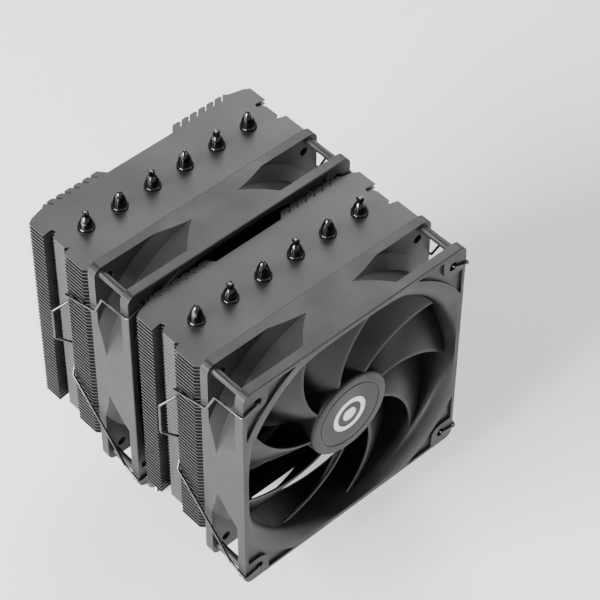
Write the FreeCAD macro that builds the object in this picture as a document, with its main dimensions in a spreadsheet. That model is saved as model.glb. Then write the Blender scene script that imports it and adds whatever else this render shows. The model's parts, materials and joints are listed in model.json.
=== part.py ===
import FreeCAD, Part
import math
import os
import Sketcher
from FreeCAD import Placement, Rotation, Vector

# A black twin-tower air cooler for a processor: two fin stacks on six heat pipes, two fans,
# wire clips and a sprung mounting bar. Millimetres; +Z up, X is the width, the front fan faces -Y,
# and the origin is the centre of the contact face under the cold plate.

DOC = FreeCAD.newDocument("cpu_tower_cooler")
SHEET = DOC.addObject("Spreadsheet::Sheet", "Sizes")

SIZES = {
    # fans
    "fan_side": 120, "fan_depth": 25, "fan_hole_spacing": 105, "fan_hole": 4.3, "fan_flange": 4.5,
    "fan_corner": 4, "duct_radius": 57.5, "mouth_radius": 65, "mouth_depth": 5, "tube_radius": 61.2,
    "recess_depth": 1.2, "post_radius": 1.8, "cup_radius": 21, "cup_floor": 2, "fan_centre_height": 91,
    "front_fan_face": -80.5, "middle_fan_face": -12.5,
    # impeller and motor
    "hub_radius": 20.75, "hub_face": 3, "hub_wall": 1.8, "hub_length": 16.5, "blade_tip": 56.4,
    "blade_thickness": 1.5, "shaft_radius": 1.5, "shaft_clearance": 0.03, "sleeve_radius": 3.5,
    "yoke_wall": 1.4, "magnet_wall": 1.8, "stator_radius": 14.6, "board_thickness": 1,
    # towers
    "tower_depth": 42, "tower_half": 60, "waist_half": 57.6, "front_tower_face": -55,
    "rear_tower_face": 13, "fin_thickness": 0.45, "fin_pitch": 2.05, "fin_count": 50,
    "fin_bottom": 43.05, "fin_top": 146, "pipe_setback": 20,
    # heat pipes
    "pipe_radius": 3, "pipe_spread": 17.5, "pipe_base_spread": 6.6, "pipe_height": 5.9,
    "pipe_bend": 7, "pipe_base_reach": 26, "pipe_knee": 27, "cap_length": 9,
    # base and mounting
    "plate_side": 40, "plate_thickness": 3.2, "block_width": 44, "block_height": 13.2,
    "bar_length": 96, "bar_width": 13, "bar_thickness": 2.6, "screw_spacing": 82, "screw_radius": 2,
    "head_radius": 4.2, "spring_wire": 0.45, "spring_radius": 3.3, "screw_top": 29,
    # clips
    "wire_radius": 0.6,
}
for row, (alias, number) in enumerate(SIZES.items(), start=1):
    SHEET.set("A%d" % row, alias)
    SHEET.set("B%d" % row, str(number))
    SHEET.setAlias("B%d" % row, alias)
DOC.recompute()


def full(text):
    """Turn the short form '@alias' into an expression on the sheet."""
    return str(text).replace("@", "Sizes.")


def value(text):
    """The number an expression stands for now."""
    if isinstance(text, (int, float)):
        return float(text)
    return float(SHEET.evalExpression(full(text)))


def place(part, x=0, y=0, z=0):
    """Bind the part's position to the sheet."""
    for axis, text in zip("xyz", (x, y, z)):
        if text:
            part.setExpression("Placement.Base." + axis, full(text))
    return part


def new_body(label):
    """Start a body with its own label."""
    body = DOC.addObject("PartDesign::Body", label)
    body.Label = label
    return body


def origin_plane(body, role):
    """Find one of the body's origin planes by its role."""
    return next(item for item in body.Origin.OriginFeatures if item.Role == role)


def pin(sketch, element, point, x, y):
    """Hold one point of a sketch element at (x, y); text coordinates follow the sheet."""
    for kind, text in (("DistanceX", x), ("DistanceY", y)):
        number = sketch.addConstraint(Sketcher.Constraint(kind, -1, 1, element, point, value(text)))
        if isinstance(text, str):
            sketch.setExpression("Constraints[%d]" % number, full(text))


def draw(body, role, shapes, offset=0):
    """Sketch on an origin plane. Shapes are ('circle', x, y, radius), ('box', x, y, width, height)
    or ('outline', [(x, y), ...]); numbers may be expressions."""
    sketch = body.newObject("Sketcher::SketchObject", body.Label + "_sketch")
    sketch.AttachmentSupport = [(origin_plane(body, role), "")]
    sketch.MapMode = "FlatFace"
    if isinstance(offset, str):
        sketch.setExpression("AttachmentOffset.Base.z", full(offset))
    elif offset:
        sketch.AttachmentOffset = Placement(Vector(0, 0, offset), Rotation())
    for shape in shapes:
        if shape[0] == "circle":
            x, y, radius = shape[1:]
            circle = Part.Circle(Vector(value(x), value(y), 0), Vector(0, 0, 1), value(radius))
            item = sketch.addGeometry(circle, False)
            pin(sketch, item, 3, x, y)
            number = sketch.addConstraint(Sketcher.Constraint("Radius", item, value(radius)))
            if isinstance(radius, str):
                sketch.setExpression("Constraints[%d]" % number, full(radius))
            continue
        if shape[0] == "box":
            x, y, width, height = shape[1:]
            low = ["(%s) - (%s) / 2" % (x, width), "(%s) - (%s) / 2" % (y, height)]
            high = ["(%s) + (%s) / 2" % (x, width), "(%s) + (%s) / 2" % (y, height)]
            points = [(low[0], low[1]), (high[0], low[1]), (high[0], high[1]), (low[0], high[1])]
        else:
            points = shape[1]
        corners = [Vector(value(x), value(y), 0) for x, y in points]
        first = sketch.GeometryCount
        for index, corner in enumerate(corners):
            sketch.addGeometry(Part.LineSegment(corner, corners[(index + 1) % len(corners)]), False)
        for index in range(len(corners)):
            after = first + (index + 1) % len(corners)
            sketch.addConstraint(Sketcher.Constraint("Coincident", first + index, 2, after, 1))
            if isinstance(points[index][0], str) or isinstance(points[index][1], str):
                pin(sketch, first + index, 1, *points[index])
    return sketch


def extrude(body, kind, sketch, length=None, backwards=False, midplane=False):
    """Add a PartDesign Pad or Pocket; no length means through everything."""
    feature = body.newObject("PartDesign::" + kind, body.Label + "_" + kind.lower())
    feature.Profile = sketch
    if length is None:
        feature.Type = "ThroughAll"
    elif isinstance(length, str):
        feature.setExpression("Length", full(length))
    else:
        feature.Length = length
    feature.Reversed = backwards
    feature.Midplane = midplane
    sketch.Visibility = False
    DOC.recompute()
    return feature


def turn(body, kind, role, points):
    """Revolve a half profile about the sketch's vertical axis (Revolution adds, Groove cuts)."""
    sketch = draw(body, role, [("outline", points)])
    feature = body.newObject("PartDesign::" + kind, body.Label + "_" + kind.lower())
    feature.Profile = sketch
    feature.ReferenceAxis = (sketch, ["V_Axis"])
    feature.Angle = 360
    sketch.Visibility = False
    DOC.recompute()
    return feature


def tube_profile(inner, outer, low, high):
    """The half profile of a plain ring."""
    return [(inner, low), (outer, low), (outer, high), (inner, high)]


def round_edges(body, kind, size, chosen):
    """Fillet or Chamfer the edges of the body's tip that the test picks."""
    tip = body.Tip
    names = ["Edge%d" % (index + 1) for index, edge in enumerate(tip.Shape.Edges) if chosen(edge)]
    feature = body.newObject("PartDesign::" + kind, body.Label + "_" + kind.lower())
    feature.Base = (tip, names)
    key = "Radius" if kind == "Fillet" else "Size"
    if isinstance(size, str):
        feature.setExpression(key, full(size))
    else:
        setattr(feature, key, size)
    DOC.recompute()
    return feature


def shaped(label, shape):
    """A sub-part whose form no feature makes, set from Part functions."""
    part = DOC.addObject("Part::Feature", label)
    part.Label = label
    part.Shape = shape
    return part


def bent_rod(points, radius, bend):
    """A round rod along a line of points with arcs of the bend radius at the corners."""
    edges = []
    start = points[0]
    for before, corner, after in zip(points, points[1:], points[2:]):
        back = (before - corner).normalize()
        ahead = (after - corner).normalize()
        half = back.getAngle(ahead) / 2
        reach = bend / math.tan(half)
        middle = (back + ahead).normalize()
        centre = corner + middle * (bend / math.sin(half))
        enter, leave = corner + back * reach, corner + ahead * reach
        edges.append(Part.makeLine(start, enter))
        edges.append(Part.Arc(enter, centre - middle * bend, leave).toShape())
        start = leave
    edges.append(Part.makeLine(start, points[-1]))
    spine = Part.Wire(edges)
    section = Part.Wire(Part.makeCircle(radius, points[0], points[1] - points[0]))
    return spine.makePipeShell([section], True, True)


# ---------------------------------------------------------------- towers

def tower_side():
    """Half of a fin's outline, from the front middle to the back middle, as (x, depth)."""
    half, waist = value("@tower_half"), value("@waist_half")
    deep = value("@tower_depth")
    return [
        (half - 3, 0), (half, 3), (half, 14.3), (half - 4.2, 15.6), (waist, 16.9),
        (waist, 24.2), (waist - 3.4, 26.6), (waist - 2.6, 28.2), (half, 27.6),
        (half, deep - 5), (half - 2.8, deep - 3.3), (50.4, deep - 1.5),
    ] + back_teeth(deep) + [(20.5, deep), (17.5, deep - 3.5)]


def back_teeth(deep):
    """Slanted slits along the back edge, each cut inwards and towards the middle."""
    points = []
    for number in range(6):
        x = 48.6 - number * 4.6
        points += [(x, deep), (x - 3, deep - 3.2), (x - 3.9, deep - 2.6), (x - 1.2, deep)]
    return points


def fin_outline():
    """The closed outline of a fin: the half side and its mirror."""
    side = tower_side()
    return [(-x, y) for x, y in side] + [(x, y) for x, y in reversed(side)]


def pipe_offsets(spread):
    """Where the six pipes stand across the width, as expressions."""
    return ["(%g) * @%s" % (step, spread) for step in (-2.5, -1.5, -0.5, 0.5, 1.5, 2.5)]


def fin_holes():
    """The six pipe holes of a fin."""
    return [("circle", x, "@pipe_setback", "@pipe_radius") for x in pipe_offsets("pipe_spread")]


def fin_stack(label, face):
    """The repeated fins of one tower, with folded side tabs that nearly close the waist."""
    body = new_body(label)
    outline = draw(body, "XY_Plane", [("outline", fin_outline())] + fin_holes(), "@fin_bottom")
    fin = extrude(body, "Pad", outline, "@fin_thickness")
    tabs = [("box", "(%d) * (@waist_half - 0.2)" % side, "20.6", "0.4", "6.4") for side in (-1, 1)]
    fold = extrude(body, "Pad", draw(body, "XY_Plane", tabs, "@fin_bottom"),
                   "@fin_pitch - 0.15")
    pattern = body.newObject("PartDesign::LinearPattern", label + "_pattern")
    pattern.Originals = [fin, fold]
    pattern.Direction = (outline, ["N_Axis"])
    pattern.Mode = "Spacing"
    pattern.setExpression("Offset", full("@fin_pitch"))
    pattern.setExpression("Occurrences", full("@fin_count"))
    body.Tip = pattern
    DOC.recompute()
    return place(body, y="@%s" % face)


def top_fin(label, face):
    """The thicker plate that closes the tower."""
    body = new_body(label)
    outline = draw(body, "XY_Plane", [("outline", fin_outline())] + fin_holes(), "@fin_top - 0.6")
    extrude(body, "Pad", outline, 0.6)
    return place(body, y="@%s" % face)


def heat_pipe(number):
    """One U-shaped pipe from the front tower, through the base, to the rear tower."""
    step = number - 3.5
    wide, narrow = step * value("@pipe_spread"), step * value("@pipe_base_spread")
    top, knee, low = value("@fin_top"), value("@pipe_knee"), value("@pipe_height")
    front = value("@front_tower_face + @pipe_setback")
    rear = value("@rear_tower_face + @pipe_setback")
    reach = value("@pipe_base_reach")
    path = [Vector(wide, front, top), Vector(wide, front, knee), Vector(narrow, -reach, low),
            Vector(narrow, reach, low), Vector(wide, rear, knee), Vector(wide, rear, top)]
    return shaped("heat_pipe_%d" % number, bent_rod(path, value("@pipe_radius"), value("@pipe_bend")))


def pipe_caps(label, face):
    """The collared, pinched pipe ends that stand on the top fin."""
    body = new_body(label)
    sketch = draw(body, "XZ_Plane", [("outline", [
        (0, 0), (3.7, 0), (3.7, 1.1), (3.1, 1.5), (3.05, 3.6), (2.5, 5.6), (1.3, 7.2),
        (0.95, 8.4), (0.6, "@cap_length"), (0, "@cap_length")])])
    cap = body.newObject("PartDesign::Revolution", label + "_revolution")
    cap.Profile = sketch
    cap.ReferenceAxis = (sketch, ["V_Axis"])
    cap.Angle = 360
    DOC.recompute()
    pattern = body.newObject("PartDesign::LinearPattern", label + "_pattern")
    pattern.Originals = [cap]
    pattern.Direction = (sketch, ["H_Axis"])
    pattern.Mode = "Spacing"
    pattern.setExpression("Offset", full("@pipe_spread"))
    pattern.Occurrences = 6
    body.Tip = pattern
    DOC.recompute()
    return place(body, "-2.5 * @pipe_spread", "@%s + @pipe_setback" % face, "@fin_top")


# ---------------------------------------------------------------- base and mounting

def pipe_grooves():
    """The six grooves that hold the pipes in the base."""
    return [("circle", x, "@pipe_height", "@pipe_radius") for x in pipe_offsets("pipe_base_spread")]


def cold_plate():
    """The plated contact plate, grooved on top for the pipes."""
    body = new_body("cold_plate")
    square = draw(body, "XY_Plane", [("box", 0, 0, "@plate_side", "@plate_side")])
    extrude(body, "Pad", square, "@plate_thickness")
    round_edges(body, "Fillet", 2.5, lambda edge: abs(edge.tangentAt(edge.FirstParameter).z) > 0.9)
    round_edges(body, "Chamfer", 0.5, lambda edge: edge.BoundBox.ZMax < 0.01)
    extrude(body, "Pocket", draw(body, "XZ_Plane", pipe_grooves()), 60, midplane=True)
    return body


def base_block():
    """The clamp over the pipes: grooved underneath, ribbed on top."""
    body = new_body("base_block")
    floor = "@plate_thickness"
    block = draw(body, "XY_Plane", [("box", 0, 0, "@block_width", "@plate_side")], floor)
    extrude(body, "Pad", block, "@block_height - @plate_thickness")
    round_edges(body, "Fillet", 2, lambda edge: abs(edge.tangentAt(edge.FirstParameter).z) > 0.9)
    extrude(body, "Pocket", draw(body, "XZ_Plane", pipe_grooves()), 60, midplane=True)
    ribs = [("box", "%g" % x, "@block_height - 0.9", "1.2", "1.8") for x in range(-18, 19, 4)]
    for side in (-1, 1):
        extrude(body, "Pocket", draw(body, "XZ_Plane", ribs, 13.5 * side), 13, midplane=True)
    return body


def crossbar():
    """The sprung mounting bar, pinched at the waist and drilled at both ends."""
    body = new_body("mount_crossbar")
    half, wide = "@bar_length / 2", "@bar_width / 2"
    outline = []
    for turn_x, turn_y in ((1, 1), (-1, 1), (-1, -1), (1, -1)):
        corner = [("(%s) * %d" % (half, turn_x), "4 * %d" % turn_y),
                  ("((%s) - 4) * %d" % (half, turn_x), "(%s) * %d" % (wide, turn_y)),
                  ("20 * %d" % turn_x, "(%s) * %d" % (wide, turn_y))]
        outline += corner if turn_x * turn_y > 0 else corner[::-1]
    plate = draw(body, "XY_Plane", [("outline", outline)], "@block_height")
    extrude(body, "Pad", plate, "@bar_thickness")
    holes = [("circle", "%d * @screw_spacing / 2" % side, 0, "@screw_radius + 0.3") for side in (-1, 1)]
    holes += [("circle", "%d" % x, 0, "1.5") for x in (-12, 12)]
    extrude(body, "Pocket", draw(body, "XY_Plane", holes), midplane=True)
    return body


def bar_screws():
    """Two low screws that hold the bar on the block."""
    body = new_body("bar_screws")
    for x in (-12, 12):
        head = draw(body, "XY_Plane", [("circle", "%d" % x, 0, "2.7")], "@block_height + @bar_thickness")
        extrude(body, "Pad", head, 1.6)
        shank = draw(body, "XY_Plane", [("circle", "%d" % x, 0, "1.5")], "@block_height")
        extrude(body, "Pad", shank, "@bar_thickness")
        socket = draw(body, "XY_Plane", [("box", "%d" % x, 0, 2.6, 0.6), ],
                      "@block_height + @bar_thickness + 1.6")
        extrude(body, "Pocket", socket, 0.8)
    return body


def mount_screw(label, side):
    """A captive shouldered screw; its tip threads into the socket's post."""
    body = new_body(label)
    top, head = "@screw_top", "@head_radius"
    turn(body, "Revolution", "XZ_Plane", [
        (0, 2), (1.2, 2), (1.5, 2.4), (1.5, 9), ("@screw_radius", 9.4),
        ("@screw_radius", "@screw_top - 3.4"), ("3", "@screw_top - 3.4"), (head, "@screw_top - 3"),
        (head, "@screw_top - 0.4"), ("@head_radius - 0.4", top), (0, top)])
    for turn_box in (("box", 0, 0, 4.6, 1), ("box", 0, 0, 1, 4.6)):
        extrude(body, "Pocket", draw(body, "XY_Plane", [turn_box], top), 1.8)
    turn(body, "Groove", "XZ_Plane", tube_profile(1.6, 3, 12.4, 13.1))
    return place(body, "%d * @screw_spacing / 2" % side)


def screw_ring(label, side):
    """The retaining ring under the bar that keeps the screw captive."""
    body = new_body(label)
    turn(body, "Revolution", "XZ_Plane", tube_profile(1.65, 3.4, 12.45, 13.05))
    return place(body, "%d * @screw_spacing / 2" % side)


def spring(label, side):
    """A closed-end compression spring between the bar and the screw head."""
    wire, radius = value("@spring_wire"), value("@spring_radius")
    low = value("@block_height + @bar_thickness") + wire + 0.05
    high = value("@screw_top") - 3.4 - wire - 0.05
    helix = Part.makeHelix((high - low) / 5.5, high - low, radius)
    start = helix.Edges[0]
    section = Part.Wire(Part.makeCircle(wire, start.valueAt(start.FirstParameter),
                                        start.tangentAt(start.FirstParameter)))
    coil = Part.Wire(helix).makePipeShell([section], True, True)
    part = shaped(label, coil)
    return place(part, "%d * @screw_spacing / 2" % side, 0, low)


# ---------------------------------------------------------------- fans

def corner_recess(turn_x, turn_z):
    """The sunk pad in one corner of the front flange, between the mouth and the screw boss."""
    inner, edge = value("@mouth_radius") + 1.5, value("@fan_side / 2") - 1.8
    hole, boss = value("@fan_hole_spacing / 2"), 5.3
    start = math.acos(edge / inner)
    arc = [start + (math.pi / 2 - 2 * start) * step / 8 for step in range(9)]
    points = [(inner * math.cos(angle), inner * math.sin(angle)) for angle in arc]
    points.append((hole - boss, edge))
    for step in range(5):
        angle = math.pi + math.pi / 2 * step / 4
        points.append((hole + boss * math.cos(angle), hole + boss * math.sin(angle)))
    points.append((edge, hole - boss))
    return [(turn_x * x, turn_z * z) for x, z in points]


def fan_frame(label):
    """The square housing: two flanges on a round duct, rear struts and motor cup."""
    body = new_body(label)
    side, deep, flange = "@fan_side", "@fan_depth", "@fan_flange"
    extrude(body, "Pad", draw(body, "XZ_Plane", [("box", 0, 0, side, side)]), deep, True)
    extrude(body, "Pocket", draw(body, "XZ_Plane", [("circle", 0, 0, "@duct_radius")]), midplane=True)
    turn(body, "Groove", "XY_Plane", [
        (50, 0), ("@mouth_radius", 0), ("@mouth_radius - 4", 1.2), ("@duct_radius + 0.8", "@mouth_depth - 1.4"),
        ("@duct_radius", "@mouth_depth"), (50, "@mouth_depth")])
    rim = [("box", 0, 0, side, side), ("box", 0, 0, "2 * @duct_radius", "2 * @duct_radius")]
    extrude(body, "Pad", draw(body, "XZ_Plane", rim), "@mouth_depth", True)
    half = value("@fan_side / 2")
    round_edges(body, "Fillet", "@fan_corner", lambda edge: (
        edge.BoundBox.YLength > 1 and min(abs(edge.CenterOfMass.x), abs(edge.CenterOfMass.z)) > half - 0.1))
    turn(body, "Groove", "XY_Plane", [
        ("@mouth_radius", "@fan_flange"), ("@tube_radius", "@fan_depth - 8.5"),
        ("@tube_radius + 5.3", "@fan_depth - @fan_flange"), (90, "@fan_depth - @fan_flange"),
        (90, "@fan_flange")])
    corners = [(x, z) for x in (-1, 1) for z in (-1, 1)]
    spacing = "@fan_hole_spacing / 2"
    holes = [("circle", "%d * %s" % (x, spacing), "%d * %s" % (z, spacing), "@fan_hole / 2")
             for x, z in corners]
    extrude(body, "Pocket", draw(body, "XZ_Plane", holes), midplane=True)
    recess = [("outline", corner_recess(x, z)) for x, z in corners]
    extrude(body, "Pocket", draw(body, "XZ_Plane", recess), "@recess_depth", True)
    posts = [("circle", 56 * x, 56 * z, "@post_radius") for x, z in corners]
    extrude(body, "Pad", draw(body, "XZ_Plane", posts, "-@fan_flange + 0.2"),
            "@fan_depth - 2 * @fan_flange + 0.4", True)
    extrude(body, "Pad", draw(body, "XZ_Plane", [("circle", 0, 0, "@cup_radius")], "-@fan_depth + @cup_floor"),
            "@cup_floor", True)
    ring = [("circle", 0, 0, "@cup_radius"), ("circle", 0, 0, "@cup_radius - 1.3")]
    extrude(body, "Pad", draw(body, "XZ_Plane", ring, "-@fan_depth + @cup_floor + 2.2"), 2.4, True)
    arms = []
    for quarter in range(4):
        spin = math.radians(90 * quarter + 20)
        lean = math.radians(90 * quarter + 32)
        inner, outer = 20.0, value("@duct_radius") + 1.5
        across = Vector(-math.sin(lean), math.cos(lean), 0) * 2
        near = Vector(math.cos(spin), math.sin(spin), 0) * inner
        far = Vector(math.cos(lean), math.sin(lean), 0) * outer
        arms.append(("outline", [(p.x, p.y) for p in (near - across, far - across,
                                                      far + across, near + across)]))
    for arm in arms:
        extrude(body, "Pad", draw(body, "XZ_Plane", [arm], "-@fan_depth + 3.6"), 3.6, True)
    tube = [("circle", 0, 0, "@sleeve_radius + 1.5"), ("circle", 0, 0, "@sleeve_radius")]
    extrude(body, "Pad", draw(body, "XZ_Plane", tube, "-9"), "@fan_depth - 9 - @cup_floor + 0.1", True)
    extrude(body, "Pocket", draw(body, "XZ_Plane", [("circle", 0, 0, "@sleeve_radius")]), midplane=True)
    label_seat = draw(body, "XZ_Plane", [("circle", 0, 0, "16.2")], "-@fan_depth + 0.25")
    extrude(body, "Pocket", label_seat, 0.25)
    return body


def blade(turned):
    """One swept blade: flat sections lofted outwards, then trimmed to the hub and the tip circle."""
    stations = (0, 0.2, 0.4, 0.6, 0.8, 1)
    thick = value("@blade_thickness")
    tip, root = value("@blade_tip"), value("@hub_radius")
    sections = []
    for share in (-0.12, 0.2, 0.5, 0.8, 1.06):
        distance = root + (tip - root) * share
        lead = 23 - 33 * share
        chord = 39 - 5 * share
        front, rear = 4.0 + 1.6 * share, 18.6 - 1.6 * share
        slope = math.atan2(rear - front, math.radians(chord) * distance)
        centre = math.radians(turned + lead + chord / 2)
        away = Vector(math.cos(centre), 0, math.sin(centre))
        along = Vector(-math.sin(centre), 0, math.cos(centre))
        upper, lower = [], []
        for station in stations:
            bow = 1.5 * math.sin(math.pi * station)
            taper = thick * (0.55 + 0.45 * math.sin(math.pi * min(1, station + 0.25)))
            run = distance * math.tan(math.radians(chord) * (station - 0.5))
            depth = front + (rear - front) * station - bow
            for row, way in ((upper, -0.5), (lower, 0.5)):
                shift = way * taper
                row.append(away * distance + along * (run - shift * math.sin(slope))
                           + Vector(0, depth + shift * math.cos(slope), 0))
        curves = []
        for row in (upper, lower[::-1]):
            curve = Part.BSplineCurve()
            curve.interpolate(row)
            curves.append(curve.toShape())
        sections.append(Part.Wire([curves[0], Part.makeLine(upper[-1], lower[-1]),
                                   curves[1], Part.makeLine(lower[0], upper[0])]))
    swept = Part.makeLoft(sections, True, False)
    axis = Vector(0, 1, 0)
    room = Part.makeCylinder(tip, 30, Vector(0, -2, 0), axis)
    room = room.cut(Part.makeCylinder(root - 0.9, 30, Vector(0, -2, 0), axis))
    return swept.common(room)


def impeller(label):
    """Hub shell with nine blades; it runs clockwise seen from the front."""
    hub = new_body(label + "_hub")
    face, outer = "@hub_face", "@hub_radius"
    end = "@hub_face + @hub_length"
    turn(hub, "Revolution", "XY_Plane", [
        (0, face), ("@hub_radius - 0.8", face), (outer, "@hub_face + 0.8"), (outer, end),
        ("@hub_radius - @hub_wall", end), ("@hub_radius - @hub_wall", "@hub_face + @hub_wall"),
        (4, "@hub_face + @hub_wall"), (4, 8), ("@shaft_radius", 8), ("@shaft_radius", "@hub_face + 1"),
        (0, "@hub_face + 1")])
    turn(hub, "Groove", "XY_Plane", tube_profile("15.7", "16.3", "@hub_face - 0.1", "@hub_face + 0.35"))
    turn(hub, "Groove", "XY_Plane", tube_profile(0, "9", "@hub_face - 0.1", "@hub_face + 0.3"))
    blades = [shaped("%s_blade_%d" % (label, number + 1), blade(40 * number)) for number in range(9)]
    whole = DOC.addObject("Part::MultiFuse", label)
    whole.Label = label
    whole.Shapes = [hub] + blades
    DOC.recompute()
    return whole


def hub_badge(label):
    """A plain ring-and-dot inlay on the hub face."""
    body = new_body(label)
    rings = [[("circle", 0, 0, 8.8), ("circle", 0, 0, 6.4)], [("circle", 0, 0, 3.4)]]
    for shapes in rings:
        extrude(body, "Pad", draw(body, "XZ_Plane", shapes, "-@hub_face"), 0.3, True)
    return body


def rotor_shaft(label):
    """The steel shaft that turns in the bearing sleeve."""
    body = new_body(label)
    radius = "@shaft_radius"
    turn(body, "Revolution", "XY_Plane", [
        (0, "@hub_face + 1"), (radius, "@hub_face + 1"), (radius, 22), (1.1, 22), (1.1, 22.35),
        (radius, 22.35), (1.3, 22.7), (0, 22.7)])
    return body


def shaft_clip(label):
    """The split washer in the shaft's groove."""
    body = new_body(label)
    turn(body, "Revolution", "XY_Plane", tube_profile(1.1, 2.7, 22.02, 22.33))
    return body


def rotor_yoke(label):
    """The steel cup inside the hub."""
    body = new_body(label)
    outer = "@hub_radius - @hub_wall"
    turn(body, "Revolution", "XY_Plane", tube_profile(outer + " - @yoke_wall", outer, 5.2, 18.6))
    return body


def rotor_magnet(label):
    """The ring magnet inside the yoke."""
    body = new_body(label)
    outer = "@hub_radius - @hub_wall - @yoke_wall"
    turn(body, "Revolution", "XY_Plane", tube_profile(outer + " - @magnet_wall", outer, 7, 18.2))
    return body


def bearing_sleeve(label):
    """The bronze sleeve pressed into the bearing tube."""
    body = new_body(label)
    bore = "@shaft_radius + @shaft_clearance"
    turn(body, "Revolution", "XY_Plane", tube_profile(bore, "@sleeve_radius", 9.2, 21.8))
    return body


def stator_core(label):
    """Laminated core: a hub ring with four T-shaped poles."""
    body = new_body(label)
    disc = [("circle", 0, 0, "@stator_radius"), ("circle", 0, 0, "@sleeve_radius + 1.5")]
    extrude(body, "Pad", draw(body, "XZ_Plane", disc, "-11.5"), 5.5, True)
    for quarter in range(4):
        spin = math.radians(90 * quarter + 45)
        away = Vector(math.cos(spin), math.sin(spin), 0)
        across = Vector(-away.y, away.x, 0)
        half = [(7.6, 0), (8.27, 4.46), (10.18, 6.37), (11.74, 4.81), (12.8, 1), (16, 1)]
        slot = [away * far + across * wide for far, wide in half]
        slot += [away * far - across * wide for far, wide in reversed(half[1:])]
        shape = [("outline", [(p.x, p.y) for p in slot])]
        extrude(body, "Pocket", draw(body, "XZ_Plane", shape), midplane=True)
    return body


def stator_coils(label):
    """Four copper windings round the poles."""
    rings = []
    for quarter in range(4):
        outer = Part.makeBox(2.2, 8.4, 8.2, Vector(9.3, 10.15, -4.1))
        inner = Part.makeBox(3, 5.7, 5.6, Vector(9, 11.4, -2.8))
        ring = outer.cut(inner)
        ring.rotate(Vector(0, 0, 0), Vector(0, 1, 0), 90 * quarter)
        rings.append(ring)
    return shaped(label, Part.makeCompound(rings))


def circuit_board(label):
    """The ring-shaped board behind the coils."""
    body = new_body(label)
    disc = [("circle", 0, 0, "@cup_radius - 2.4"), ("circle", 0, 0, "@sleeve_radius + 1.6")]
    extrude(body, "Pad", draw(body, "XZ_Plane", disc, "-20.4"), "@board_thickness", True)
    chips = [("box", 9, 0, 4, 3), ("box", -8, 6, 3, 2), ("box", -2, -12, 3, 4)]
    for chip in chips:
        extrude(body, "Pad", draw(body, "XZ_Plane", [chip], "-19.4"), 1.05, True)
    return body


def rear_label(label):
    """The blank round label on the back of the motor cup."""
    body = new_body(label)
    extrude(body, "Pad", draw(body, "XZ_Plane", [("circle", 0, 0, 16)], "-@fan_depth + 0.25"), 0.2, True)
    return body


FAN_PARTS = {
    "frame": fan_frame, "impeller": impeller, "hub_badge": hub_badge, "shaft": rotor_shaft,
    "shaft_clip": shaft_clip, "rotor_yoke": rotor_yoke, "rotor_magnet": rotor_magnet,
    "bearing_sleeve": bearing_sleeve, "stator_core": stator_core, "stator_coils": stator_coils,
    "circuit_board": circuit_board, "rear_label": rear_label,
}


def fan(prefix):
    """Build every piece of one fan, then stand it at its place."""
    parts = []
    for name, make in FAN_PARTS.items():
        part = make("%s_%s" % (prefix, name))
        parts.append(place(part, y="@%s_face" % prefix, z="@fan_centre_height"))
    return parts


def wire_clip(label, prefix, tower, side):
    """One spring-wire clip from the fan's holes to the groove in the tower's side."""
    radius = value("@wire_radius")
    hole = value("@fan_hole_spacing / 2")
    face = value("@%s_face" % prefix)
    middle = value("@fan_centre_height")
    groove = value("@%s_tower_face" % tower) + 15.95
    out = value("@tower_half") + 0.5 + radius
    inside = value("@waist_half") + 0.75
    front = face - 0.3 - radius
    path = [
        (hole, face + 3.2, hole), (hole, front, hole), (out, front, hole - 3),
        (out, face + 15, hole - 3), (out, face + 20, hole - 15), (out, groove - 1, hole - 21),
        (inside, groove, hole - 24), (inside, groove, 24), (out + 3.6, groove + 4, 20),
        (out + 3.6, groove + 4, 3), (inside, groove, -1), (inside, groove, -16),
        (out, groove - 1, -19), (out, groove - 9, -25), (out, face + 15, -42), (out, face + 8, -hole + 2),
        (out, front, -hole - 1.5), (hole, front, -hole), (hole, face + 3.2, -hole),
    ]
    points = [Vector(side * x, y, middle + z) for x, y, z in path]
    return shaped(label, bent_rod(points, radius, 1.3))


# ---------------------------------------------------------------- assembly

def build():
    """Make every part in order."""
    parts = [cold_plate(), base_block(), crossbar(), bar_screws()]
    parts += [heat_pipe(number) for number in range(1, 7)]
    for prefix in ("front", "rear"):
        face = prefix + "_tower_face"
        parts += [fin_stack(prefix + "_fin_stack", face), top_fin(prefix + "_top_fin", face),
                  pipe_caps(prefix + "_pipe_caps", face)]
    for name, side in (("left", -1), ("right", 1)):
        parts += [mount_screw(name + "_mount_screw", side), screw_ring(name + "_screw_ring", side),
                  spring(name + "_spring", side)]
    for prefix, tower in (("front_fan", "front"), ("middle_fan", "rear")):
        parts += fan(prefix)
        for name, side in (("left", -1), ("right", 1)):
            parts.append(wire_clip("%s_clip_%s" % (prefix, name), prefix, tower, side))
    return parts


def check_and_export(parts):
    """Stop on any broken object, then write one STEP file per sub-part."""
    DOC.recompute()
    for item in DOC.Objects:
        if "Invalid" in item.State or "Error" in item.State:
            raise RuntimeError("%s did not recompute: %s" % (item.Label, item.State))
    os.makedirs("parts", exist_ok=True)
    for part in parts:
        if part.Shape.isNull() or not part.Shape.isValid():
            raise RuntimeError("%s has no valid shape" % part.Label)
        box = part.Shape.BoundBox
        print("%-26s solids %3d  x %.1f..%.1f  y %.1f..%.1f  z %.1f..%.1f  volume %.0f" % (
            part.Label, len(part.Shape.Solids), box.XMin, box.XMax, box.YMin, box.YMax,
            box.ZMin, box.ZMax, part.Shape.Volume))
        part.Shape.exportStep("parts/%s.step" % part.Label)


check_and_export(build())
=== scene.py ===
"""Twin-tower air cooler for a processor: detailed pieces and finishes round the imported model."""
import json
import logging
import math
from dataclasses import dataclass
from enum import Enum
from typing import Callable, Iterable, Sequence

import bmesh
import bpy
from mathutils import Euler, Matrix, Vector


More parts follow.
